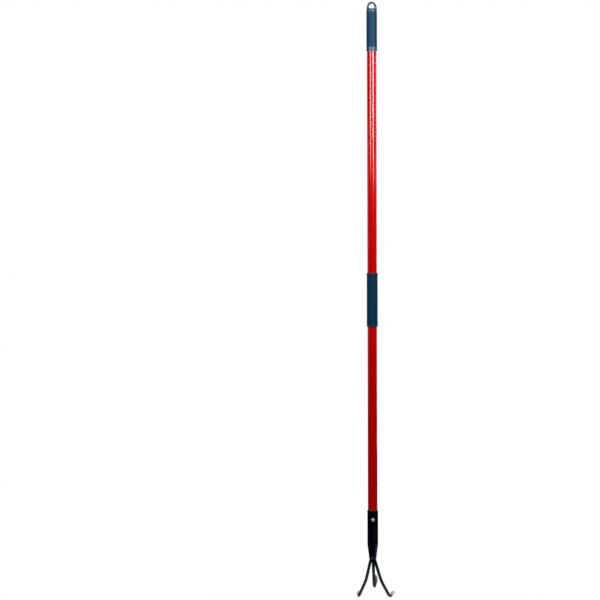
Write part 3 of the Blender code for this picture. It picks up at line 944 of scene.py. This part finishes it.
def screw_way(head, distance):
    """A point on the screw's axis, this far out from the middle of the shaft."""
    height = SOCKET_HIGH.z - head.screw_drop
    return Vector((distance * math.sin(head.screw_turn), -distance * math.cos(head.screw_turn), height))


def screw_hole(name, head):
    """The cutter of the screw's hole, with its clearance."""
    radius = head.screw_shank / 2 + FIT_GAP
    return rod(name, radius, screw_way(head, 0), screw_way(head, 2 * SHAFT_RADIUS))


class CULTIVATOR_OT_screw(bpy.types.Operator):
    """Make the pan-head screw, with its cross recess and thread"""

    bl_idname = "cultivator.screw"
    bl_label = "Make Screw"

    def execute(self, context):
        head = context.scene.cultivator_head
        head_radius = head.screw_head / 2
        shank_radius = head.screw_shank / 2
        dome_height = head.screw_head_height - head.screw_rim
        dome = bulge((0, head.screw_rim), (head_radius, dome_height), 0, 3 * FILLET_STEPS)
        dome[0] = (0, head.screw_head_height)
        thread = []
        turns = round((head.screw_length - head.screw_point) / head.thread_pitch)
        for turn in range(turns):
            root_z = -(turn + 0.5) * head.thread_pitch
            thread.append((shank_radius * THREAD_ROOT, root_z))
            thread.append((shank_radius, root_z - head.thread_pitch / 2))
        profile = [*dome, (head_radius, 0), (shank_radius, 0), *thread, (0, -head.screw_length)]
        screw = turned("head_screw_pan", profile, SCREW_SIDES)
        wing = wing_blank(head)
        zinc = zinc_plate(head)
        run_tree(wing, wing_tree(), Wings=4, Material=zinc)
        cut(screw, wing)
        outward = screw_way(head, 1.0) - screw_way(head, 0.0)
        turn = outward.to_track_quat("Z", "Y").to_matrix().to_4x4()
        seat = screw_way(head, SEAT_RADIUS + head.wall + FIT_GAP)
        screw.data.transform(Matrix.Translation(seat) @ turn)
        finish(screw, zinc, "bright_steel", "head_screw")
        return {"FINISHED"}


def wing_blank(head):
    """One wing of the cross recess: it narrows and slopes inwards as it goes down."""
    top = head.screw_head_height * RECESS_OVERCUT
    floor = head.screw_head_height - head.recess_depth
    reach = head.recess_span / 2
    half = head.recess_width / 2
    rings = []
    for end, side, z in (
        (reach * RECESS_MOUTH, half, top),
        (reach * RECESS_FLOOR_REACH, half * RECESS_FLOOR_WIDTH, floor),
    ):
        corners = ((0, -side, z), (end, -side, z), (end, side, z), (0, side, z))
        rings.append([Vector(corner) for corner in corners])
    return lofted("recess_wing", rings)


# Tines


def down(outward, back):
    """Heading of a bar that goes down, leaning outwards along X and back along Y."""
    return Vector((math.sin(outward) * math.cos(back), math.sin(back), -math.cos(outward) * math.cos(back)))


def up_behind(outward, rise):
    """Heading of a point that goes back along Y and up, leaning outwards along X."""
    return Vector((math.sin(outward) * math.cos(rise), math.cos(outward) * math.cos(rise), math.sin(rise)))


def bent(start, heading, bends):
    """Stations of a bar, close together: each bend is a straight, then a radius to a new heading."""
    stations = [(start, heading)]
    for straight, radius, new_heading in bends:
        origin = stations[-1][0]
        steps = math.ceil(straight / STRAIGHT_STEP)
        for step in range(1, steps):
            stations.append((origin + heading * (straight * step / steps), heading))
        here = origin + heading * straight
        axis = heading.cross(new_heading).normalized()
        sweep = heading.angle(new_heading)
        centre = here + axis.cross(heading) * radius
        steps = math.ceil(sweep / BEND_STEP)
        for step in range(steps + 1):
            turn = Quaternion(axis, sweep * step / steps)
            stations.append((centre + turn @ (here - centre), turn @ heading))
        heading = new_heading
    return stations


def bar_ring(centre, heading, half_width, half_depth, keenness):
    """A section of the bar: round where keenness is 0, and drawn out to two edges as it grows."""
    across = (Vector((1, 0, 0)) - heading * heading.x).normalized()
    through = heading.cross(across)
    ring = []
    for side in range(BAR_SIDES):
        turn = 2 * math.pi * side / BAR_SIDES
        height = math.sin(turn) * abs(math.sin(turn)) ** keenness
        ring.append(centre + across * half_width * math.cos(turn) + through * half_depth * height)
    return ring


def leaf_section(tines, part, widest):
    """Half width, half depth and keenness of the spear point, from its root at 0 to its tip at 1."""
    radius = tines.bar / 2
    if part < widest:
        half_width = radius + (tines.leaf_width / 2 - radius) * eased(part / widest)
    else:
        taper = (part - widest) / (1 - widest)
        half_width = tines.nose / 2 + (tines.leaf_width - tines.nose) / 2 * (1 - taper**tines.belly)
    flattened = eased(min(1.0, part / tines.flattened))
    half_depth = radius + (tines.leaf_thickness / 2 - radius) * flattened
    thinned = tines.thinning * max(0.0, part - widest) / (1 - widest)
    return half_width, half_depth * (1 - thinned), tines.keenness * flattened


def bundle_radius(tines):
    """Radius of the circle through the three bars' centres."""
    return (tines.bar + FIT_GAP) / math.sqrt(3)


def tine_piece(name, tines, stations, widest):
    """One bent bar, drawn out to its point, with its length and width kept as attributes."""
    radius = tines.bar / 2
    rings = [bar_ring(centre, heading, radius, radius, 0) for centre, heading in stations]
    reaches = [0.0]
    for (here, _), (there, _) in zip(stations, stations[1:]):
        reaches.append(reaches[-1] + (there - here).length)
    alongs = [reach - reaches[-1] for reach in reaches]
    neck, heading = stations[-1]
    for step in range(1, LEAF_STEPS + 1):
        part = step / LEAF_STEPS
        centre = neck + heading * tines.leaf * part
        rings.append(bar_ring(centre, heading, *leaf_section(tines, part, widest)))
        alongs.append(tines.leaf * part)
    piece = lofted(name, rings)
    along = piece.data.attributes.new("along", "FLOAT", "POINT")
    across = piece.data.attributes.new("across", "FLOAT", "POINT")
    for index, vertex in enumerate(piece.data.vertices):
        ring, side = divmod(index, BAR_SIDES)
        middle = (rings[ring][0] + rings[ring][BAR_SIDES // 2]) / 2
        edge = math.copysign(1, math.cos(2 * math.pi * side / BAR_SIDES))
        along.data[index].value = alongs[ring]
        across.data[index].value = (vertex.co - middle).length * edge
    return piece


def outer_bends(tines, side):
    """Knee, sweep and hook of an outer tine, on the side given by -1 or 1."""
    return (
        (tines.seat + tines.knee_drop, tines.knee_radius, down(side * tines.splay, tines.lean)),
        (tines.leg, tines.flare_radius, down(side * tines.flare, tines.flare_lean)),
        (tines.shin, tines.hook_radius, up_behind(side * tines.tip_splay, tines.tip_rise)),
    )


def middle_bends(tines):
    """Sweep and hook of the middle tine."""
    return (
        (tines.seat + tines.middle_leg, tines.middle_lean_radius, down(0, tines.middle_lean)),
        (tines.middle_shin, tines.middle_hook_radius, up_behind(0, tines.middle_tip_rise)),
    )


def bar_stations(tines):
    """Each bar's stations by its node. The bars start side by side, a third of a turn apart."""
    stations = {}
    for node, turn, bends in (
        ("tine_left", -math.pi / 3, outer_bends(tines, -1)),
        ("tine_middle", math.pi, middle_bends(tines)),
        ("tine_right", math.pi / 3, outer_bends(tines, 1)),
    ):
        start = Vector((math.sin(turn), -math.cos(turn), 0)) * bundle_radius(tines)
        start.z = MOUTH_Z + tines.seat
        stations[node] = bent(start, down(0, 0), bends)
    return stations


class CULTIVATOR_OT_tines(bpy.types.Operator):
    """Make the three forged tines"""

    bl_idname = "cultivator.tines"
    bl_label = "Make Tines"

    def execute(self, context):
        tines = context.scene.cultivator_tines
        head = context.scene.cultivator_head
        outer = tine_finish("tine_worn", head, tines, 1.0), tines.widest
        middle = tine_finish("tine_kept", head, tines, tines.middle_worn), tines.middle_widest
        for node, stations in bar_stations(tines).items():
            material, widest = middle if node == "tine_middle" else outer
            finish(tine_piece(node + "_forged", tines, stations, widest), material, "black_enamel", node)
        return {"FINISHED"}


class CULTIVATOR_OT_weld(bpy.types.Operator):
    """Make the run weld that closes the mouth and climbs each bar"""

    bl_idname = "cultivator.weld"
    bl_label = "Make Weld"

    def execute(self, context):
        tines = context.scene.cultivator_tines
        head = context.scene.cultivator_head
        top = WELD_HIGH.z
        bottom = WELD_LOW.z
        middle = (top + bottom) / 2
        reach = (top - bottom) / 2
        outer = WELD_HIGH.y
        lap = 2 * FIT_GAP
        proud = reach * BEAD_BULGE
        radii = (proud, reach + lap / 2)
        bead = bulge((outer - proud, middle + lap / 2), radii, -math.pi / 2, 2 * FILLET_STEPS)
        weld = turned("neck_weld_bead", [(0, top), (outer - reach, top), *bead, (0, bottom)])
        for stations in bar_stations(tines).values():
            rings = []
            for centre, heading in stations:
                drop = (middle - centre.z) / reach
                if 0 <= drop <= CLIMB_END:
                    swell = CLIMB_SKIN + CLIMB_SWELL * (1 - min(1.0, drop / CLIMB_REACH)) ** 2
                    radius = tines.bar / 2 + swell
                    rings.append(bar_ring(centre, heading, radius, radius, 0))
            absorb(weld, lofted("weld_climb", rings))
        fuse(weld, tines.weld_fusing, WELD_FAIRING)
        material = black_enamel("weld_enamel", head, roughness=0.30)
        run_tree(
            weld,
            weld_ripple_tree(),
            Ripples=tines.ripples,
            Height=tines.ripple_height,
            Middle=middle,
            Reach=reach,
            Inner=outer - reach,
            Outer=outer,
            Material=material,
        )
        finish(weld, material, "black_enamel", "neck_weld")
        return {"FINISHED"}


# Stage


def softbox(stage, name, turn, distance, middle_z, width, height, radiance, shape="RECTANGLE"):
    """A soft light that faces the shaft, this many degrees round from the camera, which doesn't see it."""
    azimuth = stage.azimuth + math.radians(turn)
    light = bpy.data.lights.new(name, "AREA")
    light.shape = shape
    light.size = width
    light.size_y = height
    area = width * height * (math.pi / 4 if shape == "ELLIPSE" else 1.0)
    light.energy = radiance * math.pi * area
    obj = add_object(name, light)
    back = Vector((math.sin(azimuth), -math.cos(azimuth), 0))
    obj.location = back * distance + Vector((0, 0, middle_z))
    obj.rotation_euler = back.to_track_quat("Z", "Y").to_euler()
    obj.visible_camera = False
    return obj


def softboxes(stage):
    """The two strips in front, the cards at the tool's sides, and the lights behind that rim it."""
    for box in (
        ("strip_left", -34, 1.2, 0.0, 0.58, 0.82, stage.left_radiance, "ELLIPSE"),
        ("strip_right", 32, 1.2, 0.0, 0.67, 0.88, stage.right_radiance, "ELLIPSE"),
        ("card_left", -108, 1.2, -0.66, 0.34, 0.80, 1.0),
        ("card_right", 112, 1.2, -0.62, 0.36, 1.10, 0.4),
        ("card_right_high", 93, 1.2, -0.16, 0.40, 0.60, 1.2),
        ("back_strip", 152, 1.5, -0.55, 0.20, 1.3, 7.0),
    ):
        softbox(stage, *box)
    for name, turn in (("rear_left", -140), ("rear_right", 140)):
        softbox(stage, name, turn, 1.6, -0.70, 0.9, 1.6, 2.3).visible_glossy = False


def studio_world(stage):
    """White to the camera, dark with a bright ceiling behind to reflections, and a soft fill to the rest."""
    world = bpy.data.worlds.new("studio")
    bpy.context.scene.world = world
    world.use_nodes = True
    tree = world.node_tree
    background = tree.nodes["Background"]
    background.inputs["Color"].default_value = (1.0, 1.0, 1.0, 1.0)
    heading = add_node(tree, "ShaderNodeTexCoord").outputs["Generated"]
    way = add_node(tree, "ShaderNodeSeparateXYZ", {0: heading}).outputs
    aside = calculate(tree, "SUBTRACT", way["Y"], product(tree, way["X"], 0.35))
    behind = ranged(tree, aside, (-0.15, 0.25), (0.0, 1.0), True)
    above = ranged(tree, way["Z"], (0.12, 0.60), (0.02, 1.0), True)
    rightwards = ranged(tree, way["X"], (-0.50, 0.60), (0.8, 1.1), True)
    front = ranged(tree, way["Z"], (0.30, 0.90), (0.0, 0.20), True)
    reflected = calculate(tree, "MAXIMUM", product(tree, behind, above, rightwards), front)
    rays = add_node(tree, "ShaderNodeLightPath").outputs
    mirror = calculate(tree, "MAXIMUM", rays["Is Glossy Ray"], rays["Is Transmission Ray"])
    soft = product(tree, calculate(tree, "SUBTRACT", 1.0, mirror), stage.fill)
    indirect = calculate(tree, "ADD", product(tree, reflected, mirror), soft)
    unseen = product(tree, indirect, calculate(tree, "SUBTRACT", 1.0, rays["Is Camera Ray"]))
    tree.links.new(calculate(tree, "ADD", unseen, rays["Is Camera Ray"]), background.inputs["Strength"])


def pale_floor(stage):
    """A pale disc under the tool, which keeps its shadow near the middle, melts into white outwards, and
    glows to reflections as a painted reflection.
    """
    shape = bmesh.new()
    bmesh.ops.create_circle(shape, cap_ends=True, radius=1.6, segments=128)
    floor = from_shape("floor", shape)
    floor.data.transform(Matrix.Translation((0, 0, CAD_BOX[0].z - FIT_GAP)))
    material, tree = new_material("floor_paper", stage.floor, 0.9)
    place = add_node(tree, "ShaderNodeSeparateXYZ", {0: object_place(tree)}).outputs
    reach = distance_from_axis(tree, place)
    white = ranged(tree, reach, (0.05, 0.60), (0.95, 1.0), True)
    surface = tree.nodes["Principled BSDF"]
    tree.links.new(uneven(tree, noise(tree, 0.004, 3.0), stage.floor, 0.98), surface.inputs["Base Color"])
    rays = add_node(tree, "ShaderNodeLightPath").outputs
    glow = add_node(tree, "ShaderNodeEmission", {"Color": (1.0, 1.0, 1.0, 1.0), "Strength": 1.0})
    seen = product(tree, white, rays["Is Camera Ray"])
    rightwards = product(tree, place["X"], math.cos(stage.azimuth))
    beside = calculate(tree, "ADD", rightwards, product(tree, place["Y"], math.sin(stage.azimuth)))
    # What reflections see of the floor is a painted glow: bluish, bright near the tool, brighter towards the
    # camera's right, faint far to its left.
    near = ranged(tree, reach, (0.06, 0.20), (1.0, 0.0), True)
    right = ranged(tree, beside, (0.15, 0.60), (0.02, 0.50), True)
    left = ranged(tree, beside, (-1.30, -0.60), (0.15, 0.02), True)
    sides = calculate(tree, "MAXIMUM", right, left)
    sheen = calculate(tree, "MAXIMUM", product(tree, near, 1.2), sides)
    hue = mixed(tree, near, (0.36, 0.66, 1.0), (0.55, 0.82, 1.0))
    painted_reflection_glow = add_node(tree, "ShaderNodeEmission", {"Color": hue, "Strength": sheen})
    shader = surface
    for factor, other in ((rays["Is Glossy Ray"], painted_reflection_glow), (seen, glow)):
        sources = {0: factor, 1: shader.outputs[0], 2: other.outputs[0]}
        shader = add_node(tree, "ShaderNodeMixShader", sources)
    tree.links.new(shader.outputs[0], tree.nodes["Material Output"].inputs["Surface"])
    floor.data.materials.append(material)


class CULTIVATOR_OT_stage(bpy.types.Operator):
    """Make the camera, the lights, the pale floor and the white surroundings"""

    bl_idname = "cultivator.stage"
    bl_label = "Make Stage"

    def execute(self, context):
        stage = context.scene.cultivator_stage
        context.scene.view_settings.view_transform = "Standard"
        lens = bpy.data.cameras.new("camera")
        lens.lens = stage.lens
        lens.clip_end = 100.0
        camera = add_object("camera", lens)
        back = Vector((math.sin(stage.azimuth), -math.cos(stage.azimuth), 0))
        right = Vector((math.cos(stage.azimuth), math.sin(stage.azimuth), 0))
        target = Vector((0, 0, stage.frame_middle)) - right * stage.axis_offset
        camera.location = target + back * (stage.frame_width * stage.lens / lens.sensor_width)
        camera.rotation_mode = "QUATERNION"
        level = (-back).to_track_quat("-Z", "Y")
        camera.rotation_quaternion = level @ Quaternion((0, 0, 1), -stage.lean)
        context.scene.camera = camera
        softboxes(stage)
        studio_world(stage)
        pale_floor(stage)
        return {"FINISHED"}


OPERATORS = (
    CULTIVATOR_OT_shaft,
    CULTIVATOR_OT_end_grip,
    CULTIVATOR_OT_mid_grip,
    CULTIVATOR_OT_socket,
    CULTIVATOR_OT_screw,
    CULTIVATOR_OT_tines,
    CULTIVATOR_OT_weld,
    CULTIVATOR_OT_stage,
)
SETTINGS = {
    "cultivator_shaft": ShaftSettings,
    "cultivator_grips": GripSettings,
    "cultivator_head": HeadSettings,
    "cultivator_tines": TineSettings,
    "cultivator_stage": StageSettings,
}


class CULTIVATOR_PT_pieces(bpy.types.Panel):
    """Lists the pieces in the order in which they are made, and the settings"""

    bl_idname = "CULTIVATOR_PT_pieces"
    bl_label = "Garden Cultivator"
    bl_space_type = "VIEW_3D"
    bl_region_type = "UI"
    bl_category = "Cultivator"

    def draw(self, context):
        for operator in OPERATORS:
            self.layout.operator(operator.bl_idname)
        for name, group in SETTINGS.items():
            box = self.layout.box()
            for field in group.__annotations__:
                box.prop(getattr(context.scene, name), field)


def register():
    for group in (*SETTINGS.values(), *OPERATORS, CULTIVATOR_PT_pieces):
        bpy.utils.register_class(group)
    for name, group in SETTINGS.items():
        setattr(bpy.types.Scene, name, PointerProperty(type=group))


def unregister():
    for name in SETTINGS:
        delattr(bpy.types.Scene, name)
    for group in (CULTIVATOR_PT_pieces, *reversed(OPERATORS), *reversed(SETTINGS.values())):
        bpy.utils.unregister_class(group)


def main():
    register()
    bpy.ops.cultivator.shaft()
    bpy.ops.cultivator.end_grip()
    bpy.ops.cultivator.mid_grip()
    bpy.ops.cultivator.socket()
    bpy.ops.cultivator.screw()
    bpy.ops.cultivator.tines()
    bpy.ops.cultivator.weld()
    bpy.ops.cultivator.stage()


if __name__ == "__main__":
    main()
